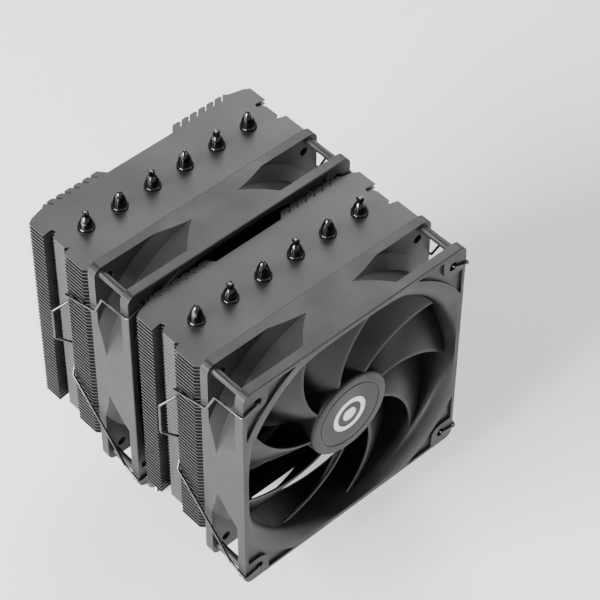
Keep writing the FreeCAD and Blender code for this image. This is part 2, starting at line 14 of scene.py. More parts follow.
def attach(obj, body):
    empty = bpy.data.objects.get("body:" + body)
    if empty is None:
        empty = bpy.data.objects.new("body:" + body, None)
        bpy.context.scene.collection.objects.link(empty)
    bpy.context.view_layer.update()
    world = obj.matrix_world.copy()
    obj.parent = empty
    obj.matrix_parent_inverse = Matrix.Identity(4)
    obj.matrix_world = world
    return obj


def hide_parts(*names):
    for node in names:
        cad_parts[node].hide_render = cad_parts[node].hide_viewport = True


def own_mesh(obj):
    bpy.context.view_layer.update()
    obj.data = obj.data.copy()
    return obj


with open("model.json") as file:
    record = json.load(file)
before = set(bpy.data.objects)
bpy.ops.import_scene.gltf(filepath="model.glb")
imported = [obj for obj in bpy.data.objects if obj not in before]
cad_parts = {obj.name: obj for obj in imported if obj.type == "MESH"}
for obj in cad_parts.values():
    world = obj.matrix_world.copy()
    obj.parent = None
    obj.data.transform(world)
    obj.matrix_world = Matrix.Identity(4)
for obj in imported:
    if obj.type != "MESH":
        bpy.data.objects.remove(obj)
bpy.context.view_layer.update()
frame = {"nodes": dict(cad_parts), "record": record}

LOG = logging.getLogger("cooler")
MM = 0.001
FULL_TURN = 2 * math.pi
CORNERS = [(x, z) for x in (-1, 1) for z in (-1, 1)]

Point2 = tuple[float, float]
Point3 = tuple[float, float, float]
Colour = tuple[float, float, float]
Mesh = bpy.types.Mesh
Thing = bpy.types.Object
Tree = bpy.types.NodeTree
Socket = bpy.types.NodeSocket
Material = bpy.types.Material


# ------------------------------------------------------------------ named options

class Tower(Enum):
    """The two fin towers: name of the CAD nodes' prefix, and where each tower's fan side is."""

    FRONT = ("front", -55.0)
    REAR = ("rear", 13.0)


class FanSpot(Enum):
    """The two fans: prefix of the CAD nodes, front face, moving body and the tower that holds it."""

    FRONT = ("front_fan", -80.5, "front_rotor", Tower.FRONT)
    MIDDLE = ("middle_fan", -12.5, "middle_rotor", Tower.REAR)


class Side(Enum):
    """Left and right, seen from the front."""

    LEFT = -1
    RIGHT = 1


class Spin(Enum):
    """The axis that a turned piece is made round."""

    UPRIGHT = "z"
    ALONG_AIR = "y"


# ------------------------------------------------------------------ mesh tools

def finish_mesh(mesh: Mesh, sharp_degrees: float = 35.0) -> Mesh:
    """Merge doubles, point faces outwards and smooth all but the sharp edges.

    Args:
        mesh: The mesh to clean, changed in place.
        sharp_degrees: Edges that turn by more than this stay crisp.

    Returns:
        The same mesh.
    """
    work = bmesh.new()
    work.from_mesh(mesh)
    bmesh.ops.remove_doubles(work, verts=work.verts, dist=2e-6)
    bmesh.ops.dissolve_degenerate(work, edges=work.edges, dist=1e-7)
    bmesh.ops.recalc_face_normals(work, faces=work.faces)
    limit = math.radians(sharp_degrees)
    for face in work.faces:
        face.smooth = True
    for edge in work.edges:
        edge.smooth = edge.is_manifold and edge.calc_face_angle(0.0) < limit
    work.to_mesh(mesh)
    work.free()
    return mesh


def mesh_of(name: str, points: Iterable[Point3], faces: Iterable[Sequence[int]]) -> Mesh:
    """Make a mesh from points in millimetres.

    Args:
        name: The mesh's name.
        points: Corner points in millimetres.
        faces: Corner numbers of each face.

    Returns:
        The new mesh, in metres.
    """
    mesh = bpy.data.meshes.new(name)
    mesh.from_pydata([Vector(point) * MM for point in points], [], list(faces))
    return mesh


def object_of(mesh: Mesh, name: str | None = None) -> Thing:
    """Link a mesh into the scene as an object at the origin.

    Args:
        mesh: The object's data.
        name: The object's name, or the mesh's own when left out.

    Returns:
        The new object.
    """
    thing = bpy.data.objects.new(name or mesh.name, mesh)
    bpy.context.scene.collection.objects.link(thing)
    return thing


def drop(thing: Thing) -> None:
    """Remove a helper object."""
    bpy.data.objects.remove(thing, do_unlink=True)


def baked(thing: Thing, name: str) -> Mesh:
    """Turn an object with its modifiers or curve settings into a plain mesh.

    Args:
        thing: The object to evaluate.
        name: Name of the result.

    Returns:
        The mesh, with no modifier left on the object.
    """
    graph = bpy.context.evaluated_depsgraph_get()
    graph.update()
    mesh = bpy.data.meshes.new_from_object(thing.evaluated_get(graph), depsgraph=graph)
    mesh.name = name
    thing.modifiers.clear()
    return mesh


def moved(mesh: Mesh, x: float = 0, y: float = 0, z: float = 0) -> Mesh:
    """Shift a mesh's points.

    Args:
        mesh: The mesh, changed in place.
        x: Millimetres to the right.
        y: Millimetres to the rear.
        z: Millimetres up.

    Returns:
        The same mesh.
    """
    mesh.transform(Matrix.Translation(Vector((x, y, z)) * MM))
    return mesh


def joined(name: str, meshes: Iterable[Mesh]) -> Mesh:
    """Put several meshes into one.

    Args:
        name: Name of the result.
        meshes: The meshes to copy in, in order.

    Returns:
        The new mesh.
    """
    work = bmesh.new()
    for mesh in meshes:
        work.from_mesh(mesh)
    whole = bpy.data.meshes.new(name)
    work.to_mesh(whole)
    work.free()
    return whole


def turned(name: str, profile: Sequence[Point2], spin: Spin = Spin.UPRIGHT, steps: int = 64,
           closed: bool = False) -> Mesh:
    """Turn a profile of (radius, height) points round an axis.

    Args:
        name: The mesh's name.
        profile: Points in millimetres; a radius of nought makes a pole.
        spin: The axis of the piece.
        steps: Flats round the circle.
        closed: Whether the last point joins the first, as on a ring.

    Returns:
        A closed mesh.
    """
    points: list[Point3] = []
    rings: list[list[int]] = []
    for radius, height in profile:
        count = 1 if radius < 1e-6 else steps
        ring = []
        for step in range(count):
            angle = FULL_TURN * step / steps
            across, up = radius * math.cos(angle), radius * math.sin(angle)
            ring.append(len(points))
            points.append((across, up, height) if spin is Spin.UPRIGHT else (across, height, up))
        rings.append(ring)
    faces: list[list[int]] = []
    pairs = list(zip(rings, rings[1:])) + ([(rings[-1], rings[0])] if closed else [])
    for low, high in pairs:
        for step in range(steps):
            after = (step + 1) % steps
            corner = [low[step % len(low)], low[after % len(low)],
                      high[after % len(high)], high[step % len(high)]]
            face = list(dict.fromkeys(corner))
            if len(face) > 2:
                faces.append(face)
    for ring in (rings[0], rings[-1]):
        if len(ring) > 1 and not closed:
            faces.append(ring)
    return finish_mesh(mesh_of(name, points, faces))


def plate(name: str, outlines: Sequence[Sequence[Point2]], low: float, high: float,
          bevel: float = 0.0) -> Mesh:
    """Cut a flat plate with holes and softened rims.

    Args:
        name: The mesh's name.
        outlines: The outer outline and any holes, in millimetres.
        low: Height of the underside.
        high: Height of the top.
        bevel: Width of the softened rim.

    Returns:
        A closed mesh lying in the XY plane.
    """
    curve = bpy.data.curves.new(name, "CURVE")
    curve.dimensions = "2D"
    curve.fill_mode = "BOTH"
    curve.extrude = ((high - low) / 2 - bevel) * MM
    curve.bevel_depth = bevel * MM
    curve.bevel_resolution = 1
    curve.offset = -bevel * MM
    for outline in outlines:
        spline = curve.splines.new("POLY")
        spline.points.add(len(outline) - 1)
        for point, (x, y) in zip(spline.points, outline):
            point.co = (x * MM, y * MM, 0, 1)
        spline.use_cyclic_u = True
    helper = object_of(curve, name + "_curve")
    mesh = baked(helper, name)
    drop(helper)
    return moved(finish_mesh(mesh, 10), z=(low + high) / 2)


def ring_points(x: float, y: float, radius: float, steps: int = 24) -> list[Point2]:
    """Points round a circle.

    Args:
        x: Centre, across.
        y: Centre, deep.
        radius: The circle's radius.
        steps: How many points.

    Returns:
        The points, anticlockwise.
    """
    return [(x + radius * math.cos(FULL_TURN * step / steps),
             y + radius * math.sin(FULL_TURN * step / steps)) for step in range(steps)]


def rounded_path(points: Sequence[Vector], bend: float, steps: int = 5) -> list[Vector]:
    """Replace the corners of a line of points by arcs.

    Args:
        points: The line's ends and corners.
        bend: Radius wanted; it shrinks where the straight runs are short.
        steps: Pieces in each arc.

    Returns:
        The rounded line.
    """
    path = [points[0]]
    for before, corner, after in zip(points, points[1:], points[2:]):
        back, ahead = (before - corner).normalized(), (after - corner).normalized()
        half = back.angle(ahead) / 2
        reach = min(bend / math.tan(half), (before - corner).length * 0.49,
                    (after - corner).length * 0.49)
        radius = reach * math.tan(half)
        centre = corner + (back + ahead).normalized() * (radius / math.sin(half))
        start, stop = corner + back * reach - centre, corner + ahead * reach - centre
        path += [centre + start.slerp(stop, step / steps) for step in range(steps + 1)]
    return path + [points[-1]]


def rod(name: str, path: Sequence[Vector], radius: float, sides: int = 6) -> Mesh:
    """Make a round rod with closed ends.

    Args:
        name: The mesh's name.
        path: The middle line, in millimetres.
        radius: The rod's radius in millimetres.
        sides: Fineness of the round section.

    Returns:
        A closed mesh.
    """
    curve = bpy.data.curves.new(name, "CURVE")
    curve.dimensions = "3D"
    curve.bevel_depth = radius * MM
    curve.bevel_resolution = sides
    curve.use_fill_caps = True
    spline = curve.splines.new("POLY")
    spline.points.add(len(path) - 1)
    for point, place in zip(spline.points, path):
        point.co = (*(place * MM), 1)
    helper = object_of(curve, name + "_curve")
    mesh = baked(helper, name)
    drop(helper)
    return finish_mesh(mesh, 50)


def carved(mesh: Mesh, cutters: Sequence[Mesh]) -> Mesh:
    """Cut several closed meshes out of one.

    Args:
        mesh: The closed mesh to carve.
        cutters: The closed meshes to take away.

    Returns:
        A new mesh with the hollows.
    """
    body = object_of(mesh)
    tool = object_of(joined("tool", cutters))
    cut = body.modifiers.new("cut", "BOOLEAN")
    cut.operation = "DIFFERENCE"
    cut.solver = "EXACT"
    cut.use_self = True
    cut.object = tool
    result = baked(body, mesh.name)
    drop(body)
    drop(tool)
    return finish_mesh(result, 14)


# ------------------------------------------------------------------ repeated pieces

class Repeat:
    """A Geometry Nodes tree that copies one piece along a line or round the air's axis."""

    def __init__(self, name: str) -> None:
        """Start the tree with its geometry, count and material sockets.

        Args:
            name: The tree's name.
        """
        self.tree = bpy.data.node_groups.new(name, "GeometryNodeTree")
        face = self.tree.interface
        for given, kind in (("Geometry", "Geometry"), ("Count", "Int"), ("Step", "Vector"),
                            ("Turn", "Vector"), ("Jitter", "Vector"), ("Seed", "Int"),
                            ("Finish", "Material")):
            face.new_socket(given, in_out="INPUT", socket_type="NodeSocket" + kind)
        face.new_socket("Geometry", in_out="OUTPUT", socket_type="NodeSocketGeometry")
        self._wire()

    def _add(self, kind: str, **settings: object) -> bpy.types.Node:
        """Add a node and set its plain properties.

        Args:
            kind: The node's type.
            settings: Its properties by name.

        Returns:
            The node.
        """
        node = self.tree.nodes.new(kind)
        for key, setting in settings.items():
            setattr(node, key, setting)
        return node

    def _wire(self) -> None:
        """Join the nodes: points, index-driven place and turn, instances, real mesh, material."""
        given = self._add("NodeGroupInput")
        made = self._add("NodeGroupOutput")
        points = self._add("GeometryNodeMeshLine")
        index = self._add("GeometryNodeInputIndex")
        place = self._add("ShaderNodeVectorMath", operation="SCALE")
        turn = self._add("ShaderNodeVectorMath", operation="SCALE")
        wobble = self._add("FunctionNodeRandomValue", data_type="FLOAT_VECTOR")
        lower = self._add("ShaderNodeVectorMath", operation="SCALE")
        total = self._add("ShaderNodeVectorMath", operation="ADD")
        spot = self._add("GeometryNodeSetPosition")
        copies = self._add("GeometryNodeInstanceOnPoints")
        real = self._add("GeometryNodeRealizeInstances")
        paint = self._add("GeometryNodeSetMaterial")
        lower.inputs["Scale"].default_value = -1.0
        points.inputs["Offset"].default_value = (0, 0, 0)
        for source, outlet, target, inlet in (
                (given, "Count", points, "Count"), (given, "Step", place, 0),
                (index, 0, place, "Scale"), (given, "Turn", turn, 0), (index, 0, turn, "Scale"),
                (given, "Jitter", lower, 0), (lower, 0, wobble, "Min"),
                (given, "Jitter", wobble, "Max"), (given, "Seed", wobble, "Seed"), (turn, 0, total, 0),
                (wobble, 0, total, 1), (points, 0, spot, "Geometry"), (place, 0, spot, "Position"),
                (spot, 0, copies, "Points"), (given, "Geometry", copies, "Instance"),
                (total, 0, copies, "Rotation"), (copies, 0, real, 0), (real, 0, paint, "Geometry"),
                (given, "Finish", paint, "Material"), (paint, 0, made, 0)):
            self.tree.links.new(source.outputs[outlet], target.inputs[inlet])

    def apply(self, name: str, piece: Mesh, count: int, finish: Material,
              step: Point3 = (0, 0, 0), turn: Point3 = (0, 0, 0), jitter: Point3 = (0, 0, 0),
              seed: int = 1) -> Mesh:
        """Copy a piece and return the plain mesh.

        Args:
            name: Name of the result.
            piece: The mesh to repeat, standing at the place of the first copy.
            count: How many copies.
            finish: The material of the copies.
            step: Millimetres from one copy to the next.
            turn: Radians from one copy to the next.
            jitter: Largest random turn of a copy, in radians.
            seed: Seed of the random turn.

        Returns:
            One mesh of all the copies.
        """
        host = object_of(piece, name + "_host")
        modifier = host.modifiers.new("repeat", "NODES")
        modifier.node_group = self.tree
        values = {"Count": count, "Step": [part * MM for part in step], "Turn": list(turn),
                  "Jitter": list(jitter), "Seed": seed, "Finish": finish}
        for socket in self.tree.interface.items_tree:
            if socket.in_out == "INPUT" and socket.name in values:
                modifier[socket.identifier] = values[socket.name]
        mesh = baked(host, name)
        drop(host)
        return mesh


# ------------------------------------------------------------------ finishes

@dataclass(frozen=True)
class Finish:
    """A surface finish: base colour with variation, rough patches, fine relief, and lighter edges that are
    partly wear and partly painted highlight.
    """

    name: str
    colour: Colour
    metallic: float = 0.0
    roughness: float = 0.5
    rough_spread: float = 0.08
    shade_spread: float = 0.25
    patch_size: float = 60.0
    grain_size: float = 2500.0
    grain_depth: float = 0.04
    # Colour painted on edges and corners: partly wear, partly a painted highlight.
    edge_wear_and_highlight_colour: Colour = (0.3, 0.3, 0.31)
    edge_wear_and_highlight_share: float = 0.5
    edge_width: float = 0.35
    coat: float = 0.0
    specular: float = 0.5
    stretch: Point3 = (1.0, 1.0, 1.0)

    def build(self) -> Material:
        """Make the node material.

        Returns:
            The material, ready to assign.
        """
        material = bpy.data.materials.new(self.name)
        material.use_nodes = True
        tree = material.node_tree
        shader = tree.nodes["Principled BSDF"]
        shader.inputs["Metallic"].default_value = self.metallic
        shader.inputs["Coat Weight"].default_value = self.coat
        shader.inputs["Specular IOR Level"].default_value = self.specular
        where = self._where(tree)
        patches = self._noise(tree, where, self.patch_size, 4.0)
        grain = self._noise(tree, where, self.grain_size, 2.0)
        low = tuple(part * (1 - self.shade_spread) for part in self.colour)
        high = tuple(part * (1 + self.shade_spread) for part in self.colour)
        shade = self._mix(tree, self._range(tree, patches, 0, 1), low, high)
        # Lighter edges and corners: partly wear, partly a painted highlight.
        if self.edge_wear_and_highlight_share:
            shade = self._mix(tree, self._edge_wear_and_highlight_mask(tree), shade, self.edge_wear_and_highlight_colour)
        tree.links.new(shade, shader.inputs["Base Color"])
        rough = self._range(tree, patches, self.roughness - self.rough_spread,
                            self.roughness + self.rough_spread)
        tree.links.new(rough, shader.inputs["Roughness"])
        relief = self._relief(tree, where, grain)
        bump = tree.nodes.new("ShaderNodeBump")
        bump.inputs["Distance"].default_value = 0.0003
        bump.inputs["Strength"].default_value = self.grain_depth
        tree.links.new(relief, bump.inputs["Height"])
        tree.links.new(bump.outputs[0], shader.inputs["Normal"])
        return material

    def _where(self, tree: Tree) -> Socket:
        """Add object coordinates, stretched for streaked patterns.

        Args:
            tree: The material's nodes.

        Returns:
            The coordinates' socket.
        """
        spot = tree.nodes.new("ShaderNodeTexCoord")
        mapping = tree.nodes.new("ShaderNodeMapping")
        mapping.inputs["Scale"].default_value = self.stretch
        tree.links.new(spot.outputs["Object"], mapping.inputs["Vector"])
        return mapping.outputs[0]

    def _noise(self, tree: Tree, where: Socket, size: float,
               detail: float) -> Socket:
        """Add a noise value between nought and one.

        Args:
            tree: The material's nodes.
            where: The coordinates.
            size: Scale of the noise, in lumps a metre.
            detail: Finer layers added.

        Returns:
            The value's socket.
        """
        noise = tree.nodes.new("ShaderNodeTexNoise")
        noise.inputs["Scale"].default_value = size
        noise.inputs["Detail"].default_value = detail
        tree.links.new(where, noise.inputs["Vector"])
        return noise.outputs["Fac"]

    def _range(self, tree: Tree, value: Socket, low: float,
               high: float, start: float = 0.3, stop: float = 0.7) -> Socket:
        """Stretch a value to a range.

        Args:
            tree: The material's nodes.
            value: The value's socket.
            low: Result at the start.
            high: Result at the stop.
            start: Value that gives the low result.
            stop: Value that gives the high result.

        Returns:
            The result's socket.
        """
        spread = tree.nodes.new("ShaderNodeMapRange")
        for key, number in (("From Min", start), ("From Max", stop), ("To Min", low), ("To Max", high)):
            spread.inputs[key].default_value = number
        tree.links.new(value, spread.inputs["Value"])
        return spread.outputs[0]

    def _mix(self, tree: Tree, factor: Socket, low: Colour | Socket, high: Colour) -> Socket:
        """Mix two colours.

        Args:
            tree: The material's nodes.
            factor: How much of the second colour shows.
            low: The first colour, fixed or from a socket.
            high: The second colour.

        Returns:
            The colour's socket.
        """
        mix = tree.nodes.new("ShaderNodeMix")
        mix.data_type = "RGBA"
        mix.inputs["B"].default_value = (*high, 1)
        tree.links.new(factor, mix.inputs["Factor"])
        if isinstance(low, Socket):
            tree.links.new(low, mix.inputs["A"])
        else:
            mix.inputs["A"].default_value = (*low, 1)
        return mix.outputs["Result"]

    def _edge_wear_and_highlight_mask(self, tree: Tree) -> Socket:
        """Add a mask of corners, from how far a rounded normal leaves the true one; it paints lighter edges,
        partly wear and partly painted highlight.

        Args:
            tree: The material's nodes.

        Returns:
            The mask's socket.
        """
        soft = tree.nodes.new("ShaderNodeBevel")
        soft.samples = 4
        soft.inputs["Radius"].default_value = self.edge_width * MM
        true = tree.nodes.new("ShaderNodeNewGeometry")
        match = tree.nodes.new("ShaderNodeVectorMath")
        match.operation = "DOT_PRODUCT"
        tree.links.new(soft.outputs[0], match.inputs[0])
        tree.links.new(true.outputs["Normal"], match.inputs[1])
        return self._range(tree, match.outputs["Value"], self.edge_wear_and_highlight_share, 0.0, 0.82, 0.98)

    def _relief(self, tree: Tree, where: Socket,
                grain: Socket) -> Socket:
        """The height pattern; plain grain unless a finish has its own."""
        return grain


@dataclass(frozen=True)
class RingedFinish(Finish):
    """A finish with fine turned rings round an axis, as on a spun plate or hub."""

    centre: Point3 = (0.0, 0.0, 0.0)
    ring_size: float = 900.0

    def _relief(self, tree: Tree, where: Socket,
                grain: Socket) -> Socket:
        """Add rings from a wave texture, broken up by the grain.

        Args:
            tree: The material's nodes.
            where: The coordinates.
            grain: The fine relief.

        Returns:
            The height's socket.
        """
        mapping = tree.nodes.new("ShaderNodeMapping")
        mapping.inputs["Location"].default_value = [-part * MM for part in self.centre]
        tree.links.new(where, mapping.inputs["Vector"])
        wave = tree.nodes.new("ShaderNodeTexWave")
        wave.wave_type = "RINGS"
        wave.rings_direction = "Y"
        wave.inputs["Scale"].default_value = self.ring_size
        wave.inputs["Distortion"].default_value = 0.4
        tree.links.new(mapping.outputs[0], wave.inputs["Vector"])
        total = tree.nodes.new("ShaderNodeMath")
        total.operation = "ADD"
        tree.links.new(wave.outputs["Fac"], total.inputs[0])
        tree.links.new(grain, total.inputs[1])
        return total.outputs[0]


class Paintbox:
    """All the finishes of the cooler, built once."""

    def __init__(self) -> None:
        """Build every material and keep it by the record's slot name."""
        coat = dict(metallic=0.0, grain_size=1800, grain_depth=0.08)
        moulded = dict(roughness=0.44, grain_size=3200, grain_depth=0.2, specular=0.34,
                       edge_wear_and_highlight_colour=(0.09, 0.09, 0.092), edge_wear_and_highlight_share=0.6, shade_spread=0.2)
        # Each edge colour below lightens edges and corners: partly wear, partly painted highlight.
        finishes = [
            Finish("fin_metal", (0.018, 0.018, 0.0192), roughness=0.34, specular=0.6,
                   edge_wear_and_highlight_colour=(0.13, 0.132, 0.135), edge_width=0.12, **coat),
            # top_fin_metal is the fin coat with a darker colour: painted shade on the top plates.
            Finish("top_fin_metal", (0.014, 0.014, 0.0152), roughness=0.40, specular=0.36, patch_size=25,
                   edge_wear_and_highlight_colour=(0.16, 0.16, 0.165), edge_width=0.3, **coat),
            Finish("cap_metal", (0.06, 0.058, 0.056), metallic=1.0, roughness=0.14, rough_spread=0.04,
                   patch_size=300, edge_wear_and_highlight_share=0.0, grain_depth=0.02, coat=0.4),
            Finish("pipe_metal", (0.05, 0.05, 0.055), metallic=1.0, roughness=0.2, rough_spread=0.06,
                   edge_wear_and_highlight_share=0.0, grain_depth=0.02, coat=0.2),
            Finish("frame_plastic", (0.0135, 0.0135, 0.014), **moulded),
            Finish("blade_plastic", (0.0085, 0.0089, 0.0098),
                   **{**moulded, "roughness": 0.36, "specular": 0.26}),
            Finish("clip_wire", (0.09, 0.09, 0.092), metallic=1.0, roughness=0.27,
                   edge_wear_and_highlight_share=0.0, grain_depth=0.01, patch_size=200),
            RingedFinish("badge_print", (0.62, 0.63, 0.65), metallic=0.6, roughness=0.35,
                         shade_spread=0.06, edge_wear_and_highlight_colour=(0.75, 0.75, 0.75), centre=(0, 0, 91)),
            Finish("nickel_plate", (0.60, 0.58, 0.55), metallic=1.0, roughness=0.2, shade_spread=0.08,
                   grain_size=900, grain_depth=0.05, edge_wear_and_highlight_colour=(0.75, 0.6, 0.5), stretch=(0.05, 2, 1)),
            Finish("block_metal", (0.05, 0.05, 0.055), metallic=0.6, roughness=0.38, grain_depth=0.06,
                   edge_wear_and_highlight_colour=(0.3, 0.3, 0.31)),
            Finish("bar_steel", (0.03, 0.03, 0.033), roughness=0.42, grain_size=1500, grain_depth=0.25,
                   edge_wear_and_highlight_colour=(0.2, 0.2, 0.2)),
            Finish("screw_steel", (0.2, 0.2, 0.21), metallic=1.0, roughness=0.28, patch_size=300,
                   edge_wear_and_highlight_colour=(0.5, 0.5, 0.5), grain_depth=0.03),
            Finish("spring_steel", (0.5, 0.5, 0.51), metallic=1.0, roughness=0.22, patch_size=300,
                   edge_wear_and_highlight_share=0.0, grain_depth=0.02),
            Finish("shaft_steel", (0.6, 0.6, 0.62), metallic=1.0, roughness=0.18, grain_depth=0.02),
            Finish("yoke_steel", (0.4, 0.4, 0.42), metallic=1.0, roughness=0.33, grain_depth=0.04),
            Finish("magnet_ferrite", (0.05, 0.045, 0.042), roughness=0.6, grain_depth=0.3),
            Finish("sleeve_bronze", (0.5, 0.33, 0.15), metallic=1.0, roughness=0.35, grain_depth=0.08),
            Finish("core_steel", (0.16, 0.17, 0.19), metallic=0.8, roughness=0.4,
                   stretch=(0.02, 3, 0.02), grain_depth=0.2),
            Finish("coil_copper", (0.6, 0.2, 0.08), metallic=1.0, roughness=0.25,
                   stretch=(0.1, 3, 0.1), grain_size=1500, grain_depth=0.3, coat=0.4),
            Finish("board_laminate", (0.012, 0.07, 0.03), roughness=0.3, coat=0.4, grain_depth=0.05),
            RingedFinish("label_film", (0.06, 0.06, 0.065), roughness=0.34, centre=(0, 0, 91),
                         grain_depth=0.05),
        ]
        self.materials = {finish.name: finish.build() for finish in finishes}
        self.slots = {entry["node"]: entry["material_slot"] for entry in frame["record"]["subparts"]}

    def __getitem__(self, slot: str) -> Material:
        """The material of a slot."""
        return self.materials[slot]

    def place(self, piece: Thing, body: str, slot: str, *nodes: str) -> Thing:
        """Finish a piece: give it its material, body and the CAD nodes it stands for.

        Args:
            piece: The piece's object.
            body: The body it moves with.
            slot: The record's material slot.
            nodes: The CAD nodes that it replaces.

        Returns:
            The same object.
        """
        piece.data.materials.clear()
        piece.data.materials.append(self[slot])
        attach(piece, body)
        if nodes:
            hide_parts(*nodes)
        LOG.info("%s: %d faces on %s", piece.name, len(piece.data.polygons), body)
        return piece

    def dress_nodes(self) -> None:
        """Give every CAD node the finish of its slot."""
        for name, node in frame["nodes"].items():
            for holder in node.material_slots:
                holder.material = self[self.slots[name]]
        LOG.info("dressed %d carried-over nodes", len(frame["nodes"]))


# ------------------------------------------------------------------ towers

@dataclass
class FinTower:
    """One tower of stacked fins with its top plate and pipe ends."""

    tower: Tower
    half: float = 60.0
    waist: float = 57.6
    deep: float = 42.0
    fin_low: float = 43.05
    fin_thick: float = 0.45
    pitch: float = 2.05
    count: int = 50
    top: float = 146.0
    pipe_x: tuple[float, ...] = (-43.75, -26.25, -8.75, 8.75, 26.25, 43.75)
    pipe_depth: float = 20.0
    pipe_radius: float = 3.0
    teeth: int = 6
    first_tooth: float = 48.6
    tooth_pitch: float = 4.6

    def outline(self) -> list[Point2]:
        """Draw the fin with its chamfers, wire groove, side slots and slit back edge.

        Returns:
            The outline, its left half first.
        """
        side = [
            (self.half - 3, 0.0), (self.half, 3.0), (self.half, 14.3), (self.half - 4.2, 15.6),
            (self.waist, 16.9), (self.waist, 24.2), (self.waist - 3.4, 26.6),
            (self.waist - 2.6, 28.2), (self.half, 27.6), (self.half, self.deep - 5),
            (self.half - 2.8, self.deep - 3.3), (50.4, self.deep - 1.5),
        ]
        for tooth in range(self.teeth):
            x = self.first_tooth - tooth * self.tooth_pitch
            side += [(x, self.deep), (x - 3, self.deep - 3.2), (x - 3.35, self.deep - 2.8),
                     (x - 1.3, self.deep - 1.0), (x - 1.45, self.deep - 0.45), (x - 2.1, self.deep)]
        side += [(20.5, self.deep), (17.5, self.deep - 3.5)]
        return [(-x, y) for x, y in side] + [(x, y) for x, y in reversed(side)]

    def holes(self, radius: float) -> list[list[Point2]]:
        """The pipe holes."""
        return [ring_points(x, self.pipe_depth, radius, 20) for x in self.pipe_x]

    def fin(self) -> Mesh:
        """Cut the lowest fin with its folded side tabs.

        Returns:
            The fin and its two tabs as closed shells.
        """
        thick = self.fin_low + self.fin_thick
        sheet = plate("fin", [self.outline(), *self.holes(self.pipe_radius + 0.02)], self.fin_low, thick)
        tabs = []
        for side in Side:
            x = side.value * (self.waist - 0.2)
            box = [(x - 0.2, 17.4), (x + 0.2, 17.4), (x + 0.2, 23.8), (x - 0.2, 23.8)]
            tabs.append(plate("tab", [box], self.fin_low + 0.1, self.fin_low + self.pitch - 0.15))
        return joined("fin", [sheet, *tabs])

    def build(self, paint: Paintbox, repeat: Repeat) -> None:
        """Make the stack, the top plate and the pipe ends of this tower.

        Args:
            paint: The finishes.
            repeat: The tree that copies pieces.
        """
        name, face = self.tower.value
        stack = repeat.apply(name + "_fins", self.fin(), self.count, paint["fin_metal"],
                             step=(0, 0, self.pitch))
        paint.place(object_of(moved(stack, y=face)), "heatsink", "fin_metal", name + "_fin_stack")
        cover = plate(name + "_top_plate", [self.outline(), *self.holes(self.pipe_radius + 0.02)],
                      self.top - 0.6, self.top, 0.12)
        paint.place(object_of(moved(cover, y=face)), "heatsink", "top_fin_metal", name + "_top_fin")
        pitch = self.pipe_x[1] - self.pipe_x[0]
        first = list(Tower).index(self.tower)
        ends = []
        for order, shape in enumerate((self.pinched_end(), self.smooth_end())):
            ends.append(moved(repeat.apply(
                "ends", shape, len(self.pipe_x) // 2, paint["cap_metal"], step=(2 * pitch, 0, 0),
                jitter=(0.02, 0.02, 1.5), seed=4 + order + first), x=pitch * ((order + 1 - first) % 2)))
        caps = moved(joined(name + "_pipe_ends", ends), self.pipe_x[0], face + self.pipe_depth, self.top)
        paint.place(object_of(caps), "heatsink", "cap_metal", name + "_pipe_caps")

    def collar(self) -> list[Point2]:
        """The collar and lower wall that every pipe end shares."""
        return [(0.0, 0.1), (3.6, 0.1), (3.7, 0.35), (3.68, 0.85), (3.5, 1.1), (3.1, 1.3), (3.02, 1.8),
                (2.96, 2.7)]

    def smooth_end(self) -> Mesh:
        """A pipe end drawn to a blunt point."""
        nose = [(2.74, 3.8), (2.38, 5.0), (1.96, 6.1), (1.5, 7.1), (1.08, 7.9), (0.6, 8.4), (0.0, 8.55)]
        return turned("end", self.collar() + nose, steps=28)

    def pinched_end(self) -> Mesh:
        """Turn a pipe end necked in and crimped shut in a four-lobed nipple.

        Returns:
            The closed end, standing at nought.
        """
        nose = [(2.64, 3.7), (2.2, 4.7), (1.78, 5.5), (1.42, 6.1), (1.24, 6.5), (1.28, 6.85), (1.6, 7.25),
                (1.74, 7.8), (1.52, 8.45), (0.95, 8.82), (0.0, 8.62)]
        mesh = turned("end", self.collar() + nose, steps=32)
        for vertex in mesh.vertices:
            if vertex.co.z > 7 * MM:
                lobes = 0.82 + 0.18 * math.cos(4 * math.atan2(vertex.co.y, vertex.co.x))
                vertex.co.x *= lobes
                vertex.co.y *= lobes
        return mesh


@dataclass
class PipeSet:
    """The six bent heat pipes between the base and the towers."""

    count: int = 6
    radius: float = 3.0
    bend: float = 7.0
    spread: float = 17.5
    base_spread: float = 6.6
    low: float = 5.9
    knee: float = 27.0
    reach: float = 26.0
    top: float = 146.05
    front: float = -35.0
    rear: float = 33.0

    def build(self, paint: Paintbox) -> None:
        """Make every pipe as a smooth rod.

        Args:
            paint: The finishes.
        """
        for number in range(self.count):
            step = number - (self.count - 1) / 2
            wide, narrow = step * self.spread, step * self.base_spread
            path = [Vector(spot) for spot in (
                (wide, self.front, self.top), (wide, self.front, self.knee),
                (narrow, -self.reach, self.low), (narrow, self.reach, self.low),
                (wide, self.rear, self.knee), (wide, self.rear, self.top))]
            name = "pipe_%d" % (number + 1)
            mesh = rod(name, rounded_path(path, self.bend, 10), self.radius, 6)
            paint.place(object_of(mesh), "heatsink", "pipe_metal", "heat_" + name)


# ------------------------------------------------------------------ base and mounting

